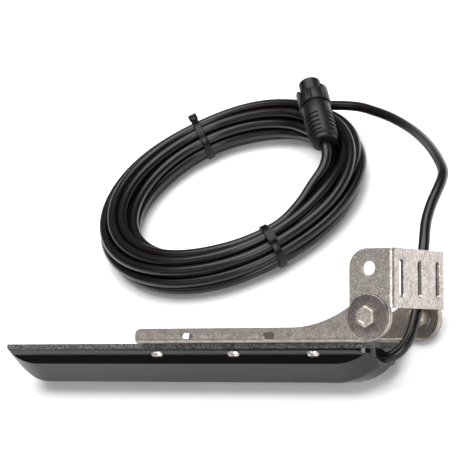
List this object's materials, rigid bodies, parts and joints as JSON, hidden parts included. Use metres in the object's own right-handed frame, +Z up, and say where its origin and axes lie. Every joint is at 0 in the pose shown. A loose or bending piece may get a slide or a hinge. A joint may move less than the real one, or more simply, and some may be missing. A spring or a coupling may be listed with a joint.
{
  "type": "sonar transducer",
  "caption": "Transom-mount sonar transducer: long black hull under a stainless tilt bracket, slotted transom bracket, coiled tied cable and plug with a locking collar.",
  "frame": {"origin": "middle of the hull and brackets, on the ground that the far angled face and the coil lie on", "axes": "+X along the hull towards the transom, +Z up from the ground; the hull is rolled 43 degrees about +X, so its own upright lies between +Y and +Z"},
  "size_m": [0.2916, 0.2733, 0.0841],
  "materials": {
    "hull_plastic": "moulded gloss black plastic",
    "textured_plastic": "moulded black plastic with a fine matte grain",
    "ceramic": "fired ceramic",
    "foam": "closed cell foam",
    "gland_rubber": "moulded black rubber",
    "stainless_sheet": "mill finish stainless sheet",
    "stainless_fastener": "bright stainless",
    "cable_jacket": "satin black cable jacket",
    "tie_nylon": "black nylon",
    "plug_plastic": "satin black moulded plastic",
    "seal_rubber": "black rubber",
    "insert_plastic": "black moulded plastic",
    "gold_contact": "plated contact"
  },
  "bodies": {
    "transducer": {"hull_shell": "hull_plastic", "top_cover": "textured_plastic", "port_element": "ceramic", "starboard_element": "ceramic", "down_element": "ceramic", "port_backing": "foam", "starboard_backing": "foam", "down_backing": "foam", "cable_gland": "gland_rubber", "hull_screws": "stainless_fastener", "tilt_base": "stainless_sheet", "near_tilt_rail": "stainless_sheet", "far_tilt_rail": "stainless_sheet", "near_pivot_bolt": "stainless_fastener", "far_pivot_bolt": "stainless_fastener", "near_outer_washer": "stainless_fastener", "far_outer_washer": "stainless_fastener", "near_inner_washer": "stainless_fastener", "far_inner_washer": "stainless_fastener", "near_lock_nut": "stainless_fastener", "far_lock_nut": "stainless_fastener", "cable_lead": "cable_jacket", "cable_coil": "cable_jacket", "plug_lead": "cable_jacket", "upper_tie": "tie_nylon", "lower_tie": "tie_nylon", "plug_body": "plug_plastic", "plug_seal": "seal_rubber", "plug_insert": "insert_plastic", "plug_contacts": "gold_contact"},
    "transom_bracket": {"transom_plate": "stainless_sheet", "near_transom_ear": "stainless_sheet", "far_transom_ear": "stainless_sheet"},
    "plug_collar": {"plug_collar": "plug_plastic"}
  },
  "joints": [
    {"name": "bracket_tilt", "type": "hinge", "parent": "transducer", "child": "transom_bracket", "pos_m": [0.12298, -0.00823, 0.03336], "axis": [0, 0.7314, -0.682], "range_deg": [-8, 45]},
    {"name": "collar_twist", "type": "hinge", "parent": "transducer", "child": "plug_collar", "pos_m": [-0.00541, 0.1881, 0.04823], "axis": [-0.4339, 0.8335, 0.342], "range_deg": [0, 60]}
  ]
}
